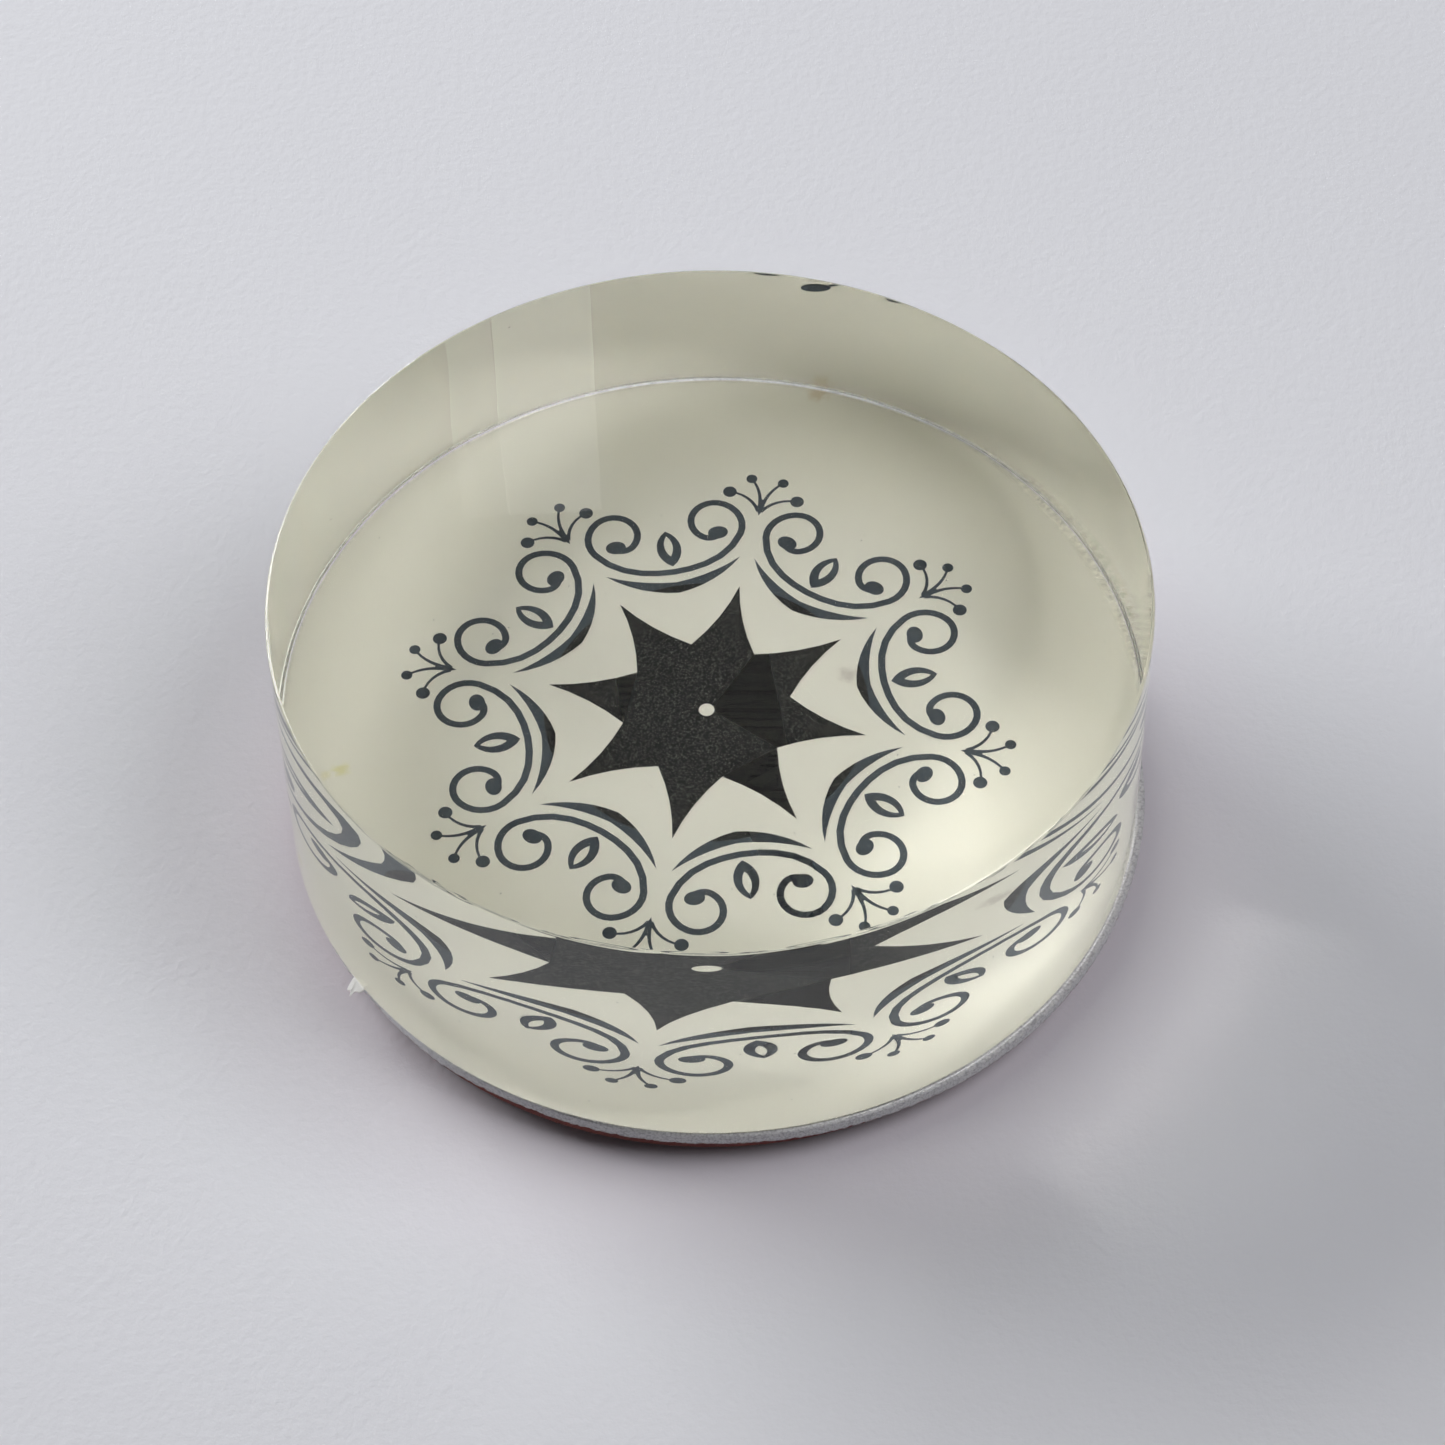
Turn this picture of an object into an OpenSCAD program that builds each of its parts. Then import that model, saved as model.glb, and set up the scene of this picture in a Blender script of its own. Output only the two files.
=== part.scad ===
// Round acrylic-block rubber stamp with a scroll-and-star ornament.
// Frame: the printing face lies on Z = 0 and the block stands above it, +Z up.
// The block's axis is the Z axis; +Y is the side away from the user.

/* [Block] */
// Diameter of the clear acrylic block
block_d = 55; // [50:0.5:60]
// Height of the clear acrylic block
block_h = 19; // [12:0.5:25]
// Edge break round the block's two rims
block_break = 0.2; // [0.1:0.05:0.5]

/* [Rubber die] */
// Diameter of the rubber die's floor
die_d = 52.8; // [48:0.2:54]
// Thickness of the rubber floor that carries the relief
die_floor = 1.2; // [0.8:0.1:2]
// Height of the printing relief below the floor
relief_h = 1; // [0.6:0.1:1.5]
// How far the die was stuck on towards the user, off the block's axis
die_shift = 0.6; // [0:0.1:1]

/* [Cushion and label] */
// Thickness of the foam cushion
foam_t = 0.8; // [0.8:0.1:3.2]
// How far the hand-cut foam stands out past the block all round
foam_proud = 0.1; // [0:0.05:0.4]
// How far the foam was stuck on to the right, off the block's axis
foam_shift = 0.35; // [0:0.05:0.6]
// Thickness of the index label
label_t = 0.1; // [0.06:0.02:0.2]
// How far the label's edge stays inside the block's
label_inset = 0.15; // [0:0.05:0.5]
// Thickness of the ink on the label
ink_t = 0.02; // [0.01:0.01:0.04]
// Thickness of each film of adhesive
film_t = 0.04; // [0.02:0.01:0.08]

/* [Ornament] */
// Number of repeats round the centre
repeats = 8; // [6:1:8]
// Turn of the ornament on the block, clockwise seen from above
motif_turn = 12.75; // [0:0.25:45]
// Shift of the ornament to the right of the block's axis
motif_x = -0.35; // [-1:0.05:1]
// Shift of the ornament away from the user
motif_y = -0.6; // [-1:0.05:1]
// Radius of the star's points
star_r = 10.3; // [9.6:0.1:10.4]
// Radius of the star's valleys
star_valley_r = 5.4; // [4.6:0.1:6]
// Hollow of the star's edges, as a sagitta
star_hollow = 0.28; // [0.1:0.02:0.4]
// Radius of the pricked centre of the star
centre_r = 0.5; // [0.3:0.1:0.8]
// Width of the scroll's line
stroke_w = 0.46; // [0.36:0.02:0.56]
// Radius at which the scroll's back crosses its own axis
scroll_r = 11.53; // [11.4:0.01:11.7]

/* [Hidden] */

round_fn = 128;
sector = 360 / repeats;

// Levels of the stack, from the printing face up
z_floor = relief_h;
z_die_top = z_floor + die_floor;
z_foam = z_die_top + film_t;
z_foam_top = z_foam + foam_t;
z_label = z_foam_top + film_t;
z_ink = z_label + label_t;
z_block_film = z_ink + ink_t;
z_block = z_block_film + film_t;

block_r = block_d / 2;
foam_r = block_r + foam_proud;
label_r = block_r - label_inset;
die_r = die_d / 2;

// The scroll is a chain of tangent arcs, each [radius, degrees], from its axis to its curl
scroll_arcs = [[7.8, 16], [4.6, 43], [2, 86], [1.56, 172], [0.9, 70]];
arc_step = 15;
curl_w = 0.66;
curl_h = 0.52;
curl_x = 3.4;
curl_y = 14.26;

// Crescent that lies along the scroll's back: its tip, and the two places on the axis
crescent_tip = [4.44, 11.97];
crescent_outer_r = 10.64;
crescent_inner_r = 9.75;
crescent_outer_bow = 0.25;
crescent_inner_bow = 0.43;

// Leaf inside the scroll, an almond with an almond eye
leaf_r = [12, 15];
leaf_half_w = 0.8;
eye_r = [12.85, 14.6];
eye_half_w = 0.28;

// Sprig between two scrolls: a stalk with four stems, each ending in a berry [x, y, radius]
stalk_point_r = 16.4;
stalk_waist = [0.2, 16.95];
stalk_top = [0.24, 17.8];
inner_berry = [1.06, 19.42, 0.36];
outer_berry = [2.26, 18.05, 0.45];
inner_root = [0.12, 17.5];
outer_root = [0.1, 16.75];
inner_bow = 0.18;
outer_bow = 0.38;
stem_root_w = 0.24;
stem_tip_w = 0.14;

// How far the relief and the floor run into each other so that they are one moulding
root = 0.2;

// ---- Outline functions ----

// Points of a chain of tangent arcs from p, heading at angle a, turning left
function walk(p, a, arcs, i = 0) =
    i == len(arcs) ? [] :
    let (r = arcs[i][0], sweep = arcs[i][1],
         n = ceil(sweep / arc_step),
         c = p + r * [-sin(a), cos(a)],
         run = [for (k = [1:n]) c + r * [sin(a + sweep * k / n), -cos(a + sweep * k / n)]])
    concat(run, walk(run[n - 1], a + sweep, arcs, i + 1));

// Points from p towards q, without q, along an arc that bows to the left by sag
function bow(p, q, sag, n) =
    let (d = q - p, chord = norm(d), u = d / chord, v = [-u[1], u[0]],
         s = abs(sag), side = sign(sag),
         r = (chord * chord / 4 + s * s) / (2 * s),
         c = (p + q) / 2 + side * v * (s - r),
         half = asin(chord / 2 / r))
    [for (k = [0:n - 1]) let (t = -half + 2 * half * k / n) c + r * (u * sin(t) + side * v * cos(t))];

// Direction of a path at its point i
function heading(path, i) =
    let (a = path[max(i - 1, 0)], b = path[min(i + 1, len(path) - 1)]) (b - a) / norm(b - a);

// Outline of a line drawn along a path, w0 wide where it starts and w1 where it ends
function ribbon(path, w0, w1) =
    let (last = len(path) - 1,
         side = [for (i = [0:last]) let (h = heading(path, i))
                 [-h[1], h[0]] * (w0 + (w1 - w0) * i / last) / 2])
    concat([for (i = [0:last]) path[i] - side[i]], [for (i = [last:-1:0]) path[i] + side[i]]);

// The same points on the other side of the axis, in the opposite order
function mirrored(path) = [for (i = [len(path) - 1:-1:0]) [-path[i][0], path[i][1]]];

// ---- Motifs, each drawn once with its axis along +Y ----

module star() {
    outline = [for (i = [0:repeats - 1])
        let (tip = star_r * [sin(i * sector), cos(i * sector)],
             valley = star_valley_r * [sin((i + 0.5) * sector), cos((i + 0.5) * sector)],
             next = star_r * [sin((i + 1) * sector), cos((i + 1) * sector)])
        each concat(bow(tip, valley, -star_hollow, 4), bow(valley, next, -star_hollow, 4))];
    difference() {
        polygon(outline);
        circle(r = centre_r, $fn = 32);
    }
}

module scroll() {
    half = walk([0, scroll_r], 0, scroll_arcs);
    polygon(ribbon(concat(mirrored(half), [[0, scroll_r]], half), stroke_w, stroke_w));
    for (side = [-1, 1])
        polygon([for (a = [0:arc_step:359]) [side * curl_x + curl_w * cos(a), curl_y + curl_h * sin(a)]]);
}

module crescent() {
    outer = bow(crescent_tip, [0, crescent_outer_r], crescent_outer_bow, 5);
    inner = bow([0, crescent_inner_r], crescent_tip, -crescent_inner_bow, 6);
    right = concat(inner, outer);
    left = mirrored([for (i = [1:len(right) - 1]) right[i]]);
    polygon(concat(right, [[0, crescent_outer_r]], left));
}

module almond(ends, half_w) {
    low = [0, ends[0]];
    high = [0, ends[1]];
    polygon(concat(bow(low, high, -half_w, 8), bow(high, low, -half_w, 8)));
}

module leaf() {
    difference() {
        almond(leaf_r, leaf_half_w);
        almond(eye_r, eye_half_w);
    }
}

module stem(from, berry, sag) {
    to = [berry[0], berry[1]];
    polygon(ribbon(concat(bow(from, to, sag, 6), [to]), stem_root_w, stem_tip_w));
    translate(to) circle(r = berry[2], $fn = 32);
}

module sprig() {
    edge = [stalk_waist, stalk_top];
    polygon(concat([[0, stalk_point_r]], edge, mirrored(edge)));
    for (side = [0, 1]) mirror([side, 0, 0]) {
        stem(inner_root, inner_berry, inner_bow);
        stem(outer_root, outer_berry, outer_bow);
    }
}

// The whole ornament, centred on its star
module ornament() {
    star();
    for (i = [0:repeats - 1]) {
        rotate(i * sector) sprig();
        rotate((i + 0.5) * sector) {
            scroll();
            crescent();
            leaf();
        }
    }
}

// The ornament where it lies on the block, thick mm thick from height z up
module placed_ornament(z, thick) {
    translate([motif_x, motif_y, z]) rotate(-motif_turn) linear_extrude(thick) ornament();
}

module disc(r, z, thick) {
    translate([0, 0, z]) cylinder(h = thick, r = r, $fn = round_fn);
}

// ---- Sub-parts, from the hand down to the paper ----

module acrylic_block() {
    color([0.93, 0.93, 0.86, 0.35])
        translate([0, 0, z_block])
        rotate_extrude($fn = round_fn)
        polygon([[0, 0], [block_r - block_break, 0], [block_r, block_break],
                 [block_r, block_h - block_break], [block_r - block_break, block_h], [0, block_h]]);
}

module block_adhesive() {
    color([0.9, 0.88, 0.74, 0.5]) disc(label_r, z_block_film, film_t);
}

module label_print() {
    color([0.2, 0.2, 0.19]) placed_ornament(z_ink, ink_t);
}

module index_label() {
    color([0.85, 0.84, 0.74]) disc(label_r, z_label, label_t);
}

module label_adhesive() {
    color([0.9, 0.88, 0.78, 0.5]) disc(label_r, z_foam_top, film_t);
}

module foam_cushion() {
    color([0.68, 0.69, 0.71]) translate([foam_shift, 0, 0]) disc(foam_r, z_foam, foam_t);
}

module die_adhesive() {
    color([0.9, 0.88, 0.78, 0.5]) translate([0, -die_shift, 0]) disc(die_r, z_die_top, film_t);
}

module rubber_die() {
    color([0.45, 0.16, 0.13]) {
        translate([0, -die_shift, 0]) disc(die_r, z_floor, die_floor);
        placed_ornament(0, relief_h + root);
    }
}

acrylic_block();
block_adhesive();
label_print();
index_label();
label_adhesive();
foam_cushion();
die_adhesive();
rubber_die();
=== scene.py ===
import math

import bmesh
import bpy
from mathutils import Matrix, Vector, noise


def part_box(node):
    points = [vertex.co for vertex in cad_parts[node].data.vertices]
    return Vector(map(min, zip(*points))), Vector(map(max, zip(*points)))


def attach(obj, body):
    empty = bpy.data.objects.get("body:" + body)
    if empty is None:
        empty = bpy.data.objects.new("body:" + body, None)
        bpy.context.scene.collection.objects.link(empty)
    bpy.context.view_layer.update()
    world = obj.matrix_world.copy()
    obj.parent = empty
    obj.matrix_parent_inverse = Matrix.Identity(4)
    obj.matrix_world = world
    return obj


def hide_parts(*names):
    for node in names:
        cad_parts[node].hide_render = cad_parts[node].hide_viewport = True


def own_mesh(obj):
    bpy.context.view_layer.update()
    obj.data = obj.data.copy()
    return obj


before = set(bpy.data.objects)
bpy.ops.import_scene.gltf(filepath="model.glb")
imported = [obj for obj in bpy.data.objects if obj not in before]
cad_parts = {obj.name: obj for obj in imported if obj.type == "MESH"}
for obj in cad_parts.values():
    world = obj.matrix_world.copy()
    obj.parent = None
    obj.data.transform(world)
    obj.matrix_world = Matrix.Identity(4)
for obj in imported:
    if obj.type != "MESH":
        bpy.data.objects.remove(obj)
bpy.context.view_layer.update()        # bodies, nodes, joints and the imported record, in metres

mm = 0.001

# places and radii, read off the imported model
blockLow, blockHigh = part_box("acrylic_block")
labelLow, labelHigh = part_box("index_label")
inkLow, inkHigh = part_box("label_print")
foamLow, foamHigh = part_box("foam_cushion")
dieLow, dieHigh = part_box("rubber_die")
blockRadius = (blockHigh.x - blockLow.x) / 2
labelRadius = (labelHigh.x - labelLow.x) / 2
foamRadius = (foamHigh.x - foamLow.x) / 2
foamCentre = (foamLow + foamHigh) / 2
dieRadius = (dieHigh.x - dieLow.x) / 2
dieCentre = (dieLow + dieHigh) / 2
printCentre = (inkLow + inkHigh) / 2

cameraPlan = {
    "elevation": 51.79,      # degrees above the table
    "distance": 10.04,       # block radii
    "aside": 0.0234,         # block radii, to the right of the block's axis
    "nearer": -0.3759,       # block radii, towards the user
    "roll": -1.11,           # degrees
    "lens": 113.82,          # millimetres
    "sensor": 36,            # millimetres
}


def makeCamera(plan):
    tilt = math.radians(plan["elevation"])
    roll = math.radians(plan["roll"])
    back = Vector((0, -math.cos(tilt), math.sin(tilt)))
    right = Vector((1, 0, 0))
    up = back.cross(right)
    turnedRight = right * math.cos(roll) + up * math.sin(roll)
    turnedUp = up * math.cos(roll) - right * math.sin(roll)
    place = back * plan["distance"] + Vector((plan["aside"], plan["nearer"], 0))
    place = place * blockRadius + Vector((0, 0, blockHigh.z))
    data = bpy.data.cameras.new("camera")
    data.lens = plan["lens"]
    data.sensor_width = plan["sensor"]
    data.clip_start = 10 * mm
    camera = bpy.data.objects.new("camera", data)
    bpy.context.scene.collection.objects.link(camera)
    turn = Matrix((turnedRight, turnedUp, back)).transposed().to_4x4()
    camera.matrix_world = Matrix.Translation(place) @ turn
    bpy.context.scene.camera = camera


makeCamera(cameraPlan)
print("camera placed")


# a socket that adds its own Math nodes, so shader maths reads as sums
class Wire:
    def __init__(self, recipe, socket):
        self.recipe = recipe
        self.socket = socket

    def maths(self, operation, first, second):
        return self.recipe.node("Math", {"operation": operation}, {0: first, 1: second})

    def __add__(self, other):
        return self.maths("ADD", self, other)

    __radd__ = __add__

    def __sub__(self, other):
        return self.maths("SUBTRACT", self, other)

    def __rsub__(self, other):
        return self.maths("SUBTRACT", other, self)

    def __mul__(self, other):
        return self.maths("MULTIPLY", self, other)

    __rmul__ = __mul__

    def above(self, edge):
        return self.maths("GREATER_THAN", self, edge)


# one material while it is being mixed
class Recipe:
    def __init__(self, name):
        self.material = bpy.data.materials.new(name)
        self.material.use_nodes = True
        self.tree = self.material.node_tree
        self.tree.nodes.clear()
        self.output = self.tree.nodes.new("ShaderNodeOutputMaterial")

    def node(self, kind, settings=None, sockets=None, out=0):
        made = self.tree.nodes.new("ShaderNode" + kind)
        for key, value in (settings or {}).items():
            setattr(made, key, value)
        for key, value in (sockets or {}).items():
            if isinstance(value, Wire):
                self.tree.links.new(value.socket, made.inputs[key])
            else:
                made.inputs[key].default_value = value
        return Wire(self, made.outputs[out])

    def coords(self, centre=(0, 0, 0), stretch=(1, 1, 1)):
        spot = self.node("TexCoord", out="Object")
        moved = self.node("VectorMath", {"operation": "SUBTRACT"}, {0: spot, 1: centre})
        return self.node("VectorMath", {"operation": "MULTIPLY"}, {0: moved, 1: stretch})

    def distance(self, where, centre):
        return self.node("VectorMath", {"operation": "DISTANCE"}, {0: where, 1: centre}, out="Value")

    def clouds(self, where, size, detail=3.0, rough=0.5):
        return self.node("TexNoise", None, {"Vector": where, "Scale": 1 / size,
                                            "Detail": detail, "Roughness": rough})

    def cells(self, where, size):
        return self.node("TexVoronoi", {"feature": "F1"}, {"Vector": where, "Scale": 1 / size})

    def ramp(self, value, low, high, start=0.0, end=1.0):
        return self.node("MapRange", None, {"Value": value, "From Min": low, "From Max": high,
                                            "To Min": start, "To Max": end})

    def blend(self, mask, first, second):
        return self.node("Mix", {"data_type": "RGBA"}, {0: mask, 6: first, 7: second}, out=2)

    def bump(self, height, depth, strength=1.0, normal=None):
        sockets = {"Height": height, "Distance": depth, "Strength": strength}
        if normal:
            sockets["Normal"] = normal
        return self.node("Bump", None, sockets)

    def finish(self, settings, volume=None):
        surface = self.node("BsdfPrincipled", None, settings)
        self.tree.links.new(surface.socket, self.output.inputs["Surface"])
        if volume:
            self.tree.links.new(volume.socket, self.output.inputs["Volume"])
        return self.material


def rgb(red, green, blue):
    return (red, green, blue, 1.0)


def dress(thing, *materials):
    thing.data.materials.clear()
    for material in materials:
        thing.data.materials.append(material)


def newPiece(name, bm):
    mesh = bpy.data.meshes.new(name)
    bm.to_mesh(mesh)
    bm.free()
    piece = bpy.data.objects.new(name, mesh)
    bpy.context.scene.collection.objects.link(piece)
    return piece


def flatDistance(point, centre):
    return math.hypot(point.x - centre.x, point.y - centre.y)


# a point on a circle about the block's axis, its bearing clockwise from straight back
def onCircle(bearing, radius, height):
    turn = math.radians(bearing)
    return Vector((radius * math.sin(turn), radius * math.cos(turn), height))


blockPlan = {
    "segments": 512,
    "rimRound": 0.20 * mm,       # radius of the edge break
    "rimSteps": 4,
    "wetDepth": 0.005 * mm,      # how far the acrylic reaches into the label's face, so they are in contact
    "clear": rgb(1, 1, 1),
    "dust": rgb(0.55, 0.54, 0.50),
    "tint": rgb(0.93, 0.93, 0.76),
    "tintPerMetre": 5.0,
    "frost": rgb(0.93, 0.92, 0.85),
    "ior": 1.49,
}


def acrylicVolume(r, plan):
    return r.node("VolumeAbsorption", None, {"Color": plan["tint"], "Density": plan["tintPerMetre"]})


def acrylicMaterial(plan):
    # polished and handled: faint smears, a slow cast wave and a few specks of dust
    r = Recipe("clearAcrylic")
    spot = r.coords()
    smears = r.clouds(r.coords(stretch=(1, 2.2, 1)), 9 * mm, 4, 0.6)
    wiped = r.clouds(r.coords(stretch=(1, 7, 7)), 0.9 * mm, 2)
    dull = r.ramp(smears, 0.55, 0.78) * r.ramp(wiped, 0.4, 0.75)
    specks = r.ramp(r.cells(spot, 1.5 * mm), 0.028, 0.05, 1.0, 0.0)
    dusty = specks * r.clouds(spot, 5 * mm, 2).above(0.56)
    wave = r.clouds(spot, 14 * mm, 1)
    return r.finish({
        "Base Color": r.blend(dusty * 0.6, plan["clear"], plan["dust"]),
        "Roughness": 0.003 + dull * 0.025 + dusty * 0.25,
        "IOR": plan["ior"],
        "Transmission Weight": 1.0,
        "Normal": r.bump(wave, 0.012 * mm),
    }, acrylicVolume(r, plan))


def frostMaterial(plan):
    # the lower edge, scraped to break it and never polished
    r = Recipe("scrapedRim")
    scraped = r.clouds(r.coords(), 0.25 * mm, 3, 0.6)
    return r.finish({
        "Base Color": r.blend(scraped, plan["frost"], plan["clear"]),
        "Roughness": 0.30 + scraped * 0.3,
        "IOR": plan["ior"],
        "Transmission Weight": 0.2,
        "Normal": r.bump(scraped, 0.03 * mm),
    }, acrylicVolume(r, plan))


def acrylicBlock(plan):
    # half of the block's section, from the axis at the bottom to the axis at the top
    foot = labelHigh.z - plan["wetDepth"]
    soften = plan["rimRound"]
    bm = bmesh.new()
    section = [Vector((0, 0, foot))]
    for level, start, lift in ((foot, -90, soften), (blockHigh.z, 0, -soften)):
        centre = Vector((blockRadius - soften, 0, level + lift))
        for step in range(plan["rimSteps"] + 1):
            turn = math.radians(start + 90 * step / plan["rimSteps"])
            section.append(centre + soften * Vector((math.cos(turn), 0, math.sin(turn))))
    section.append(Vector((0, 0, blockHigh.z)))
    points = [bm.verts.new(point) for point in section]
    edges = [bm.edges.new(pair) for pair in zip(points, points[1:])]
    bmesh.ops.spin(bm, geom=points + edges, cent=(0, 0, 0), axis=(0, 0, 1), angle=math.tau,
                   steps=plan["segments"], use_merge=True)
    bmesh.ops.remove_doubles(bm, verts=bm.verts, dist=0.0001 * mm)
    bmesh.ops.recalc_face_normals(bm, faces=bm.faces)
    for face in bm.faces:
        face.smooth = True
        middle = face.calc_center_median()
        atRim = math.hypot(middle.x, middle.y) > blockRadius - soften
        atFoot = atRim and middle.z < foot + soften
        face.material_index = 1 if atFoot else 0
    for edge in bm.edges:      # the flats and the wall keep their own true normals
        first, second = (v.co for v in edge.verts)
        level = abs(first.z - second.z) < 0.001 * mm
        radius = math.hypot(first.x, first.y)
        atFlat = abs(radius - (blockRadius - soften)) < 0.001 * mm
        atWall = abs(radius - blockRadius) < 0.001 * mm
        edge.smooth = not (level and (atFlat or atWall))
    piece = newPiece("acrylicBlock", bm)
    dress(piece, acrylicMaterial(plan), frostMaterial(plan))
    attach(piece, "block_pack")
    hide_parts("acrylic_block")
    return piece


acrylicBlock(blockPlan)
print("acrylic block spun")

labelPlan = {
    "paper": rgb(0.886, 0.869, 0.765),
    "paperShade": rgb(0.871, 0.854, 0.745),
    "marks": [       # x and y on the label, reach, strength and colour of each small blemish
        (-23.4 * mm, -4.8 * mm, 0.65 * mm, 0.55, rgb(0.76, 0.72, 0.26)),
        (-24.4 * mm, -5.2 * mm, 0.45 * mm, 0.35, rgb(0.78, 0.72, 0.34)),
        (8.7 * mm, 2.0 * mm, 0.8 * mm, 0.4, rgb(0.36, 0.30, 0.25)),
        (7.5 * mm, 26.0 * mm, 0.9 * mm, 0.5, rgb(0.62, 0.48, 0.28)),
    ],
    "prick": rgb(0.16, 0.15, 0.12),
    "starInk": rgb(0.016, 0.016, 0.015),
    "lineInk": rgb(0.060, 0.076, 0.092),
    "fleck": rgb(0.15, 0.15, 0.14),
    "starReach": 10.35 * mm,
    "silver": rgb(0.98, 0.97, 0.90),
    "liftedAt": onCircle(66, labelRadius, labelHigh.z),      # where the film let go of the rim
}


def labelMaterial(plan):
    r = Recipe("creamLabel")
    spot = r.coords()
    mottle = r.ramp(r.clouds(spot, 6 * mm, 4), 0.35, 0.7)
    fibre = r.clouds(r.coords(stretch=(1, 0.35, 1)), 0.25 * mm, 3)
    paper = r.blend(mottle * 0.7, plan["paper"], plan["paperShade"])
    broken = r.clouds(spot, 0.45 * mm, 3, 0.65)
    for x, y, reach, strength, colour in plan["marks"]:
        away = r.distance(spot, (x, y, labelHigh.z)) + broken * (1.6 * reach) - 0.8 * reach
        paper = r.blend(r.ramp(away, 0.25 * reach, reach, strength, 0.0), paper, colour)
    patches = r.clouds(spot, 6 * mm, 2).above(0.52)
    pricks = r.ramp(r.cells(spot, 2.6 * mm), 0.012, 0.024, 0.8, 0.0) * patches
    return r.finish({
        "Base Color": r.blend(pricks, paper, plan["prick"]),
        "Roughness": 0.55 + fibre * 0.2,
        "Specular IOR Level": 0.2,
        "Normal": r.bump(fibre, 0.004 * mm, 0.5),
    })


def inkMaterial(plan):
    # toner: neutral and speckled on the star, bluer where the lines are thin
    r = Recipe("tonerInk")
    spot = r.coords()
    fine = r.distance(spot, tuple(printCentre)).above(plan["starReach"])
    grain = r.clouds(spot, 0.13 * mm, 2, 0.75)
    flecks = r.ramp(grain, 0.52, 0.74)
    ink = r.blend(fine, plan["starInk"], plan["lineInk"])
    return r.finish({
        "Base Color": r.blend(flecks * 0.8, ink, plan["fleck"]),
        "Roughness": 0.6,
        "Specular IOR Level": 0.15,
        "Normal": r.bump(grain, 0.003 * mm, 0.5),
    })


def filmMaterial(plan, name, tint, alpha, roughness, silver=0.0):
    # clear adhesive with small bubbles, and a silvery margin where it never wetted the edge
    r = Recipe(name)
    spot = r.coords()
    bubbles = r.ramp(r.cells(spot, 0.9 * mm), 0.03, 0.07, 1.0, 0.0)
    rare = r.clouds(spot, 4 * mm, 2).above(0.62)
    cover = alpha + bubbles * rare * 0.35
    if silver:
        inside = labelRadius - r.distance(spot, (0, 0, labelHigh.z))
        lifted = r.ramp(r.distance(spot, tuple(plan["liftedAt"])), 4 * mm, 13 * mm, 0.6 * mm, 0.10 * mm)
        mottled = r.ramp(r.clouds(spot, 0.35 * mm, 4, 0.7), 0.30, 0.75)
        cover = cover + r.ramp(inside - lifted, -0.4 * mm, 0.15 * mm, silver, 0.0) * mottled
    return r.finish({
        "Base Color": tint,
        "Roughness": roughness,
        "Specular IOR Level": 0.1,
        "Alpha": cover,
    })


for nodeName, material in (
        ("index_label", labelMaterial(labelPlan)),
        ("label_print", inkMaterial(labelPlan)),
        ("block_adhesive", filmMaterial(labelPlan, "contactFilm", labelPlan["silver"], 0.01, 0.5, 0.28)),
        ("label_adhesive", filmMaterial(labelPlan, "labelFilm", rgb(0.72, 0.69, 0.55), 0.9, 0.35)),
        ("die_adhesive", filmMaterial(labelPlan, "dieFilm", rgb(0.72, 0.66, 0.52), 0.9, 0.35))):
    dress(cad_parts[nodeName], material)
print("label, ink and films finished")

shredPlan = {
    "bearing": 235.5,            # where the label's edge is torn
    "width": 1.3 * mm,
    "reach": 0.75 * mm,
    "bite": 0.35 * mm,           # how far it starts inside the edge
    "taper": 0.55,               # share of its width lost at the tip
    "droop": 0.55 * mm,
    "thick": 0.07 * mm,
    "colour": rgb(0.90, 0.89, 0.87),
    "shade": rgb(0.78, 0.77, 0.74),
}


def shredMaterial(plan):
    r = Recipe("tornPaper")
    fibre = r.clouds(r.coords(stretch=(1, 1, 0.4)), 0.12 * mm, 4, 0.65)
    return r.finish({
        "Base Color": r.blend(fibre, plan["colour"], plan["shade"]),
        "Roughness": 0.75 + fibre * 0.2,
        "Specular IOR Level": 0.2,
        "Normal": r.bump(fibre, 0.03 * mm, 0.8),
    })


def labelShred(plan):
    # a small torn tongue of paper, left sticking out from the label's edge
    bm = bmesh.new()
    bmesh.ops.create_grid(bm, x_segments=9, y_segments=7, size=0.5)
    root = onCircle(plan["bearing"], labelRadius, (labelLow.z + labelHigh.z) / 2)
    out = Vector((root.x, root.y, 0)).normalized()
    along = Vector((-out.y, out.x, 0))
    for vert in bm.verts:
        outward = vert.co.y + 0.5
        ragged = noise.noise(Vector((vert.co.x * 3.1, vert.co.y * 2.3, 4.2)))
        narrow = 1 - plan["taper"] * outward ** 2 + 0.25 * ragged
        step = out * (outward * (plan["reach"] + plan["bite"]) * (1 + 0.3 * ragged) - plan["bite"])
        fall = plan["droop"] * outward ** 2 * (1 + 0.8 * ragged)
        vert.co = root + along * (vert.co.x * plan["width"] * narrow) + step - Vector((0, 0, fall))
    bmesh.ops.solidify(bm, geom=bm.faces[:], thickness=plan["thick"])
    bmesh.ops.recalc_face_normals(bm, faces=bm.faces)
    piece = newPiece("labelShred", bm)
    smooth = piece.modifiers.new("smooth", "SUBSURF")
    smooth.levels = 1
    smooth.render_levels = 1
    dress(piece, shredMaterial(plan))
    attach(piece, "block_pack")
    return piece


labelShred(shredPlan)
print("torn shred of the label made")

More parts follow.
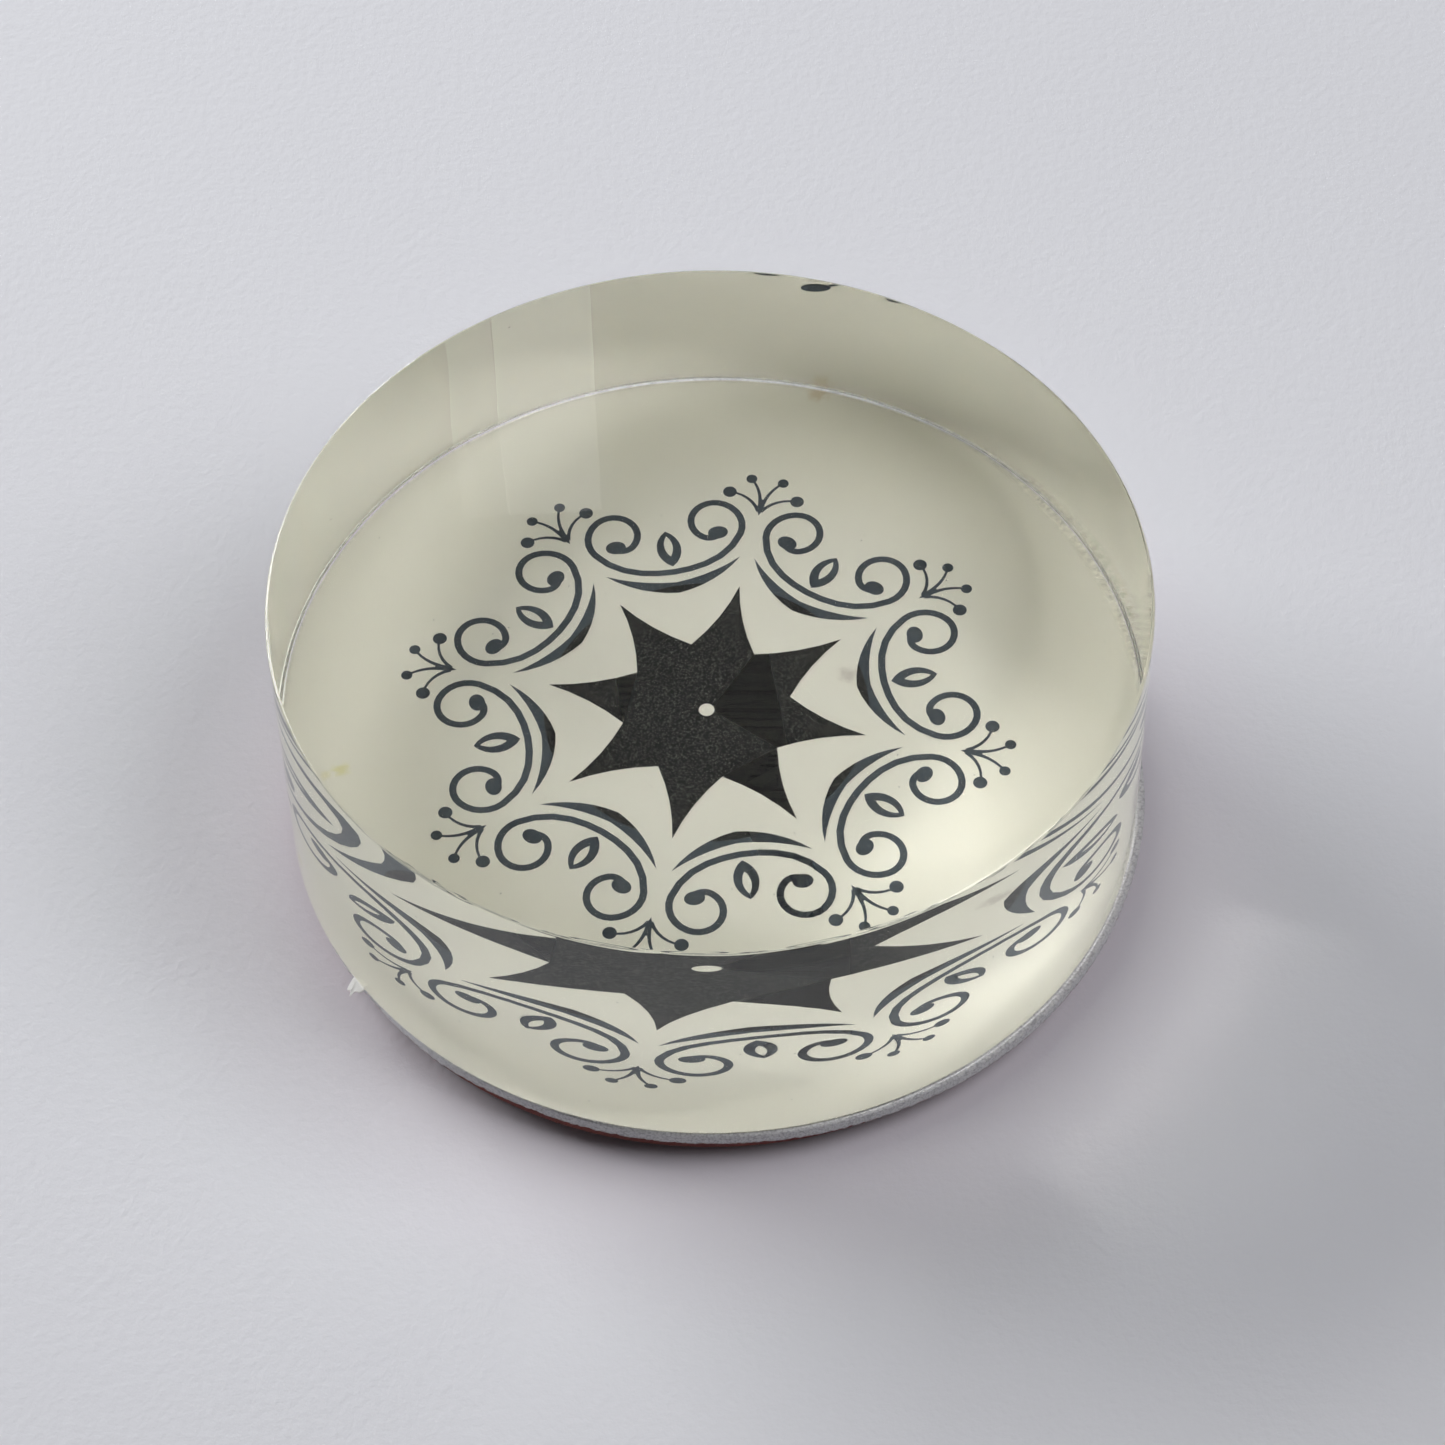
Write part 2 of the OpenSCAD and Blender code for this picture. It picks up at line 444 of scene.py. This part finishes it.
foamPlan = {
    "segments": 1100,
    "rows": 8,
    "rimShrink": 0.985,         # first ring of each flat, just inside the cut edge
    "midShrink": 0.6,
    "wander": 0.12 * mm,        # slow waver of the knife cut
    "wanderTurns": 3.1,
    "tear": 0.05 * mm,          # torn cells on the cut side
    "tearSize": 0.28 * mm,
    "fringe": 0.10 * mm,        # ragged lower edge
    "fringeSize": 0.33 * mm,
    "fringeInward": 0.6,        # share of the fringe that pulls the edge in
    "fringeBelow": 0.9,         # share of the height, from the top, above which no edge drops
    "sideFrom": 0.99,           # share of the radius where the cut side starts
    "colour": rgb(0.64, 0.635, 0.64),
    "pit": rgb(0.36, 0.35, 0.37),
    "redBrownFoot": rgb(0.20, 0.07, 0.06),
}


def foamMaterial(plan):
    r = Recipe("greyFoam")
    spot = r.coords()
    cells = r.cells(spot, 0.16 * mm)
    pits = r.ramp(cells, 0.45, 0.85)
    blotch = r.clouds(spot, 3 * mm, 3)
    height = r.node("SeparateXYZ", None, {0: r.coords(centre=tuple(foamLow))}, out="Z")
    # the foam turns dark red-brown towards its ragged lower edge
    edge = r.ramp(height + r.clouds(spot, 0.35 * mm, 3) * (0.3 * mm), 0.12 * mm, 0.26 * mm, 0.75, 0.0)
    foam = r.blend(pits * 0.7 + blotch * 0.15, plan["colour"], plan["pit"])
    return r.finish({
        "Base Color": r.blend(edge, foam, plan["redBrownFoot"]),
        "Roughness": 0.85,
        "Specular IOR Level": 0.25,
        "Sheen Weight": 0.15,
        "Normal": r.bump(cells, 0.04 * mm, 0.8),
    })


# extrudes a ring of edges and gives back the new ring's points and edges
def growRing(bm, ring):
    parts = bmesh.ops.extrude_edge_only(bm, edges=ring)["geom"]
    points = {part for part in parts if isinstance(part, bmesh.types.BMVert)}
    return points, [part for part in parts if isinstance(part, bmesh.types.BMEdge)
                    and points.issuperset(part.verts)]


def foamCushion(plan):
    height = foamHigh.z - foamLow.z
    axis = Vector((foamCentre.x, foamCentre.y, 0))
    bm = bmesh.new()
    bmesh.ops.create_circle(bm, cap_ends=False, segments=plan["segments"], radius=foamRadius)
    bmesh.ops.translate(bm, verts=bm.verts, vec=axis + Vector((0, 0, foamLow.z)))
    bottomRing = bm.edges[:]
    topRing = bottomRing
    for row in range(plan["rows"]):
        points, topRing = growRing(bm, topRing)
        bmesh.ops.translate(bm, verts=list(points), vec=(0, 0, height / plan["rows"]))
    for ring in (bottomRing, topRing):      # the two flats
        for shrink in (plan["rimShrink"], plan["midShrink"], 0.0):
            points, ring = growRing(bm, ring)
            for point in points:
                away = Vector((point.co.x, point.co.y, 0)) - axis
                goal = axis + away.normalized() * foamRadius * shrink
                point.co = Vector((goal.x, goal.y, point.co.z))
    bmesh.ops.remove_doubles(bm, verts=bm.verts, dist=0.001 * mm)
    bmesh.ops.recalc_face_normals(bm, faces=bm.faces)
    for vert in bm.verts:      # the cut side wavers, tears and frays towards its foot
        away = Vector((vert.co.x, vert.co.y, 0)) - axis
        if away.length < foamRadius * plan["sideFrom"]:
            continue
        way = away.normalized()
        slow = noise.noise(way * plan["wanderTurns"]) * plan["wander"]
        torn = noise.noise(vert.co / plan["tearSize"]) * plan["tear"]
        low = 1 - (vert.co.z - foamLow.z) / height
        frayed = noise.noise(way * foamRadius / plan["fringeSize"]) * plan["fringe"] * low ** 3
        vert.co += way * (slow + torn - abs(frayed) * plan["fringeInward"])
        vert.co.z += frayed if low > plan["fringeBelow"] else 0
    for face in bm.faces:
        face.smooth = True
    piece = newPiece("foamCushion", bm)
    dress(piece, foamMaterial(plan))
    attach(piece, "die_pack")
    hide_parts("foam_cushion")
    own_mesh(piece)
    return piece


foamCushion(foamPlan)
print("foam cushion cut")

diePlan = {
    "reliefTop": 1.0 * mm,       # the moulded floor, above the printing face
    "draft": 0.10 * mm,          # how far the relief's walls spread at their root
    "reliefWithin": 0.98,        # share of the radius that the relief keeps inside
    "soften": 0.035 * mm,
    "softenAbove": 40,           # degrees, the least corner that is softened
    "colour": rgb(0.21, 0.050, 0.036),
    "shade": rgb(0.13, 0.030, 0.024),
    "bloom": rgb(0.30, 0.12, 0.10),
}


def rubberMaterial(plan):
    r = Recipe("redBrownRubber")
    spot = r.coords()
    cloudy = r.ramp(r.clouds(spot, 5 * mm, 4), 0.3, 0.75)
    grain = r.clouds(spot, 0.12 * mm, 3)
    dusty = r.ramp(r.clouds(spot, 1.4 * mm, 5, 0.65), 0.56, 0.8)
    rubber = r.blend(cloudy, plan["colour"], plan["shade"])
    return r.finish({
        "Base Color": r.blend(dusty * 0.4, rubber, plan["bloom"]),
        "Roughness": 0.55 + grain * 0.2,
        "Specular IOR Level": 0.4,
        "Normal": r.bump(grain, 0.012 * mm, 0.6),
    })


def rubberDie(plan):
    bm = bmesh.new()
    bm.from_mesh(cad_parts["rubber_die"].data)
    bmesh.ops.remove_doubles(bm, verts=bm.verts, dist=0.0005 * mm)
    moves = {}
    for vert in bm.verts:      # the roots of the relief's walls step outwards
        atRoot = abs(vert.co.z - plan["reliefTop"]) < 0.01 * mm
        if not atRoot or flatDistance(vert.co, dieCentre) > dieRadius * plan["reliefWithin"]:
            continue
        walls = [face.normal for face in vert.link_faces if abs(face.normal.z) < 0.1]
        if walls:
            spread = sum(walls, Vector())
            moves[vert] = Vector((spread.x, spread.y, 0)).normalized() * plan["draft"]
    for vert, move in moves.items():
        vert.co += move
    piece = newPiece("rubberDie", bm)
    soft = piece.modifiers.new("soften", "BEVEL")
    soft.width = plan["soften"]
    soft.segments = 2
    soft.limit_method = "ANGLE"
    soft.angle_limit = math.radians(plan["softenAbove"])
    dress(piece, rubberMaterial(plan))
    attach(piece, "die_pack")
    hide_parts("rubber_die")
    return piece


rubberDie(diePlan)
print("rubber die moulded")

stagePlan = {
    "floorSize": 1.5,            # metres from the middle to each side
    "paper": rgb(0.75, 0.752, 0.785),
    "paperShade": rgb(0.735, 0.737, 0.77),
    "paintedBounceTint": rgb(0.76, 0.70, 0.765),      # painted mauve shade and bounced red light on the paper close round the stamp
    "room": rgb(0.98, 0.97, 1.0),
    "roomStrength": 0.065,
    "far": 0.8,                  # metres from the stamp to each panel
    "panels": [      # name, bearing, elevation, degrees across, degrees tall, brightness, colour
        ("lowWindow", 316, 10, 50, 12, 16.5, (0.93, 0.97, 1.0)),
        ("highWindow", 305, 32, 42, 19, 8.0, (1.0, 0.99, 0.98)),
        ("lampPanel", 104, 55, 50, 34, 4.1, (0.97, 0.97, 1.0)),
        ("rearFill", 0, 18, 36, 16, 1.2, (0.93, 0.97, 1.0)),
        ("glintPane", 355.85, 47.6, 2.4, 4.2, 1.2, (1.0, 1.0, 1.0)),
        ("glintEdge", 354.05, 47.6, 1.2, 4.2, 0.6, (1.0, 1.0, 1.0)),
    ],
}


def paperMaterial(plan):
    r = Recipe("palePaper")
    spot = r.coords()
    tooth = r.clouds(spot, 0.7 * mm, 5, 0.6)
    mottle = r.ramp(r.clouds(spot, 30 * mm, 2), 0.3, 0.7, 0.0, 0.5)
    # painted shade: the paper turns mauve close round the stamp, standing in for red light bounced off the
    # rubber
    paintedBounceMask = r.ramp(r.distance(spot, (0, 0, 0)), 0.95 * blockRadius, 1.45 * blockRadius, 0.6, 0.0)
    return r.finish({
        "Base Color": r.blend(paintedBounceMask, r.blend(mottle, plan["paper"], plan["paperShade"]), plan["paintedBounceTint"]),
        "Roughness": 0.9,
        "Specular IOR Level": 0.1,
        "Normal": r.bump(tooth, 0.05 * mm, 0.7),
    })


# a rectangular lamp that faces the stamp; it spans an arc of bearing and an arc of elevation
def panel(name, bearing, elevation, across, tall, brightness, colour, far):
    rise = math.radians(elevation)
    way = onCircle(bearing, math.cos(rise), math.sin(rise))
    data = bpy.data.lights.new(name, "AREA")
    data.shape = "RECTANGLE"
    data.size = 2 * far * math.tan(math.radians(across / 2)) * math.cos(rise)
    data.size_y = 2 * far * math.tan(math.radians(tall / 2))
    data.energy = brightness * data.size * data.size_y * math.pi
    data.color = colour
    lamp = bpy.data.objects.new(name, data)
    lamp.location = way * far
    lamp.rotation_euler = (-way).to_track_quat("-Z", "Y").to_euler()
    bpy.context.scene.collection.objects.link(lamp)


def makeStage(plan):
    bm = bmesh.new()
    bmesh.ops.create_grid(bm, x_segments=1, y_segments=1, size=plan["floorSize"])
    floor = newPiece("paperFloor", bm)
    dress(floor, paperMaterial(plan))
    world = bpy.data.worlds.new("softRoom")
    bpy.context.scene.world = world
    world.use_nodes = True
    sky = world.node_tree.nodes["Background"]
    sky.inputs["Color"].default_value = plan["room"]
    sky.inputs["Strength"].default_value = plan["roomStrength"]
    for settings in plan["panels"]:
        panel(*settings, plan["far"])
    scene = bpy.context.scene
    scene.view_settings.view_transform = "Standard"
    scene.cycles.use_denoising = True
    scene.cycles.max_bounces = 16
    scene.cycles.diffuse_bounces = 5
    scene.cycles.glossy_bounces = 8
    scene.cycles.transmission_bounces = 14
    scene.cycles.transparent_max_bounces = 24
    scene.cycles.sample_clamp_indirect = 8.0
    scene.cycles.blur_glossy = 0.0


makeStage(stagePlan)
print("stage lit")
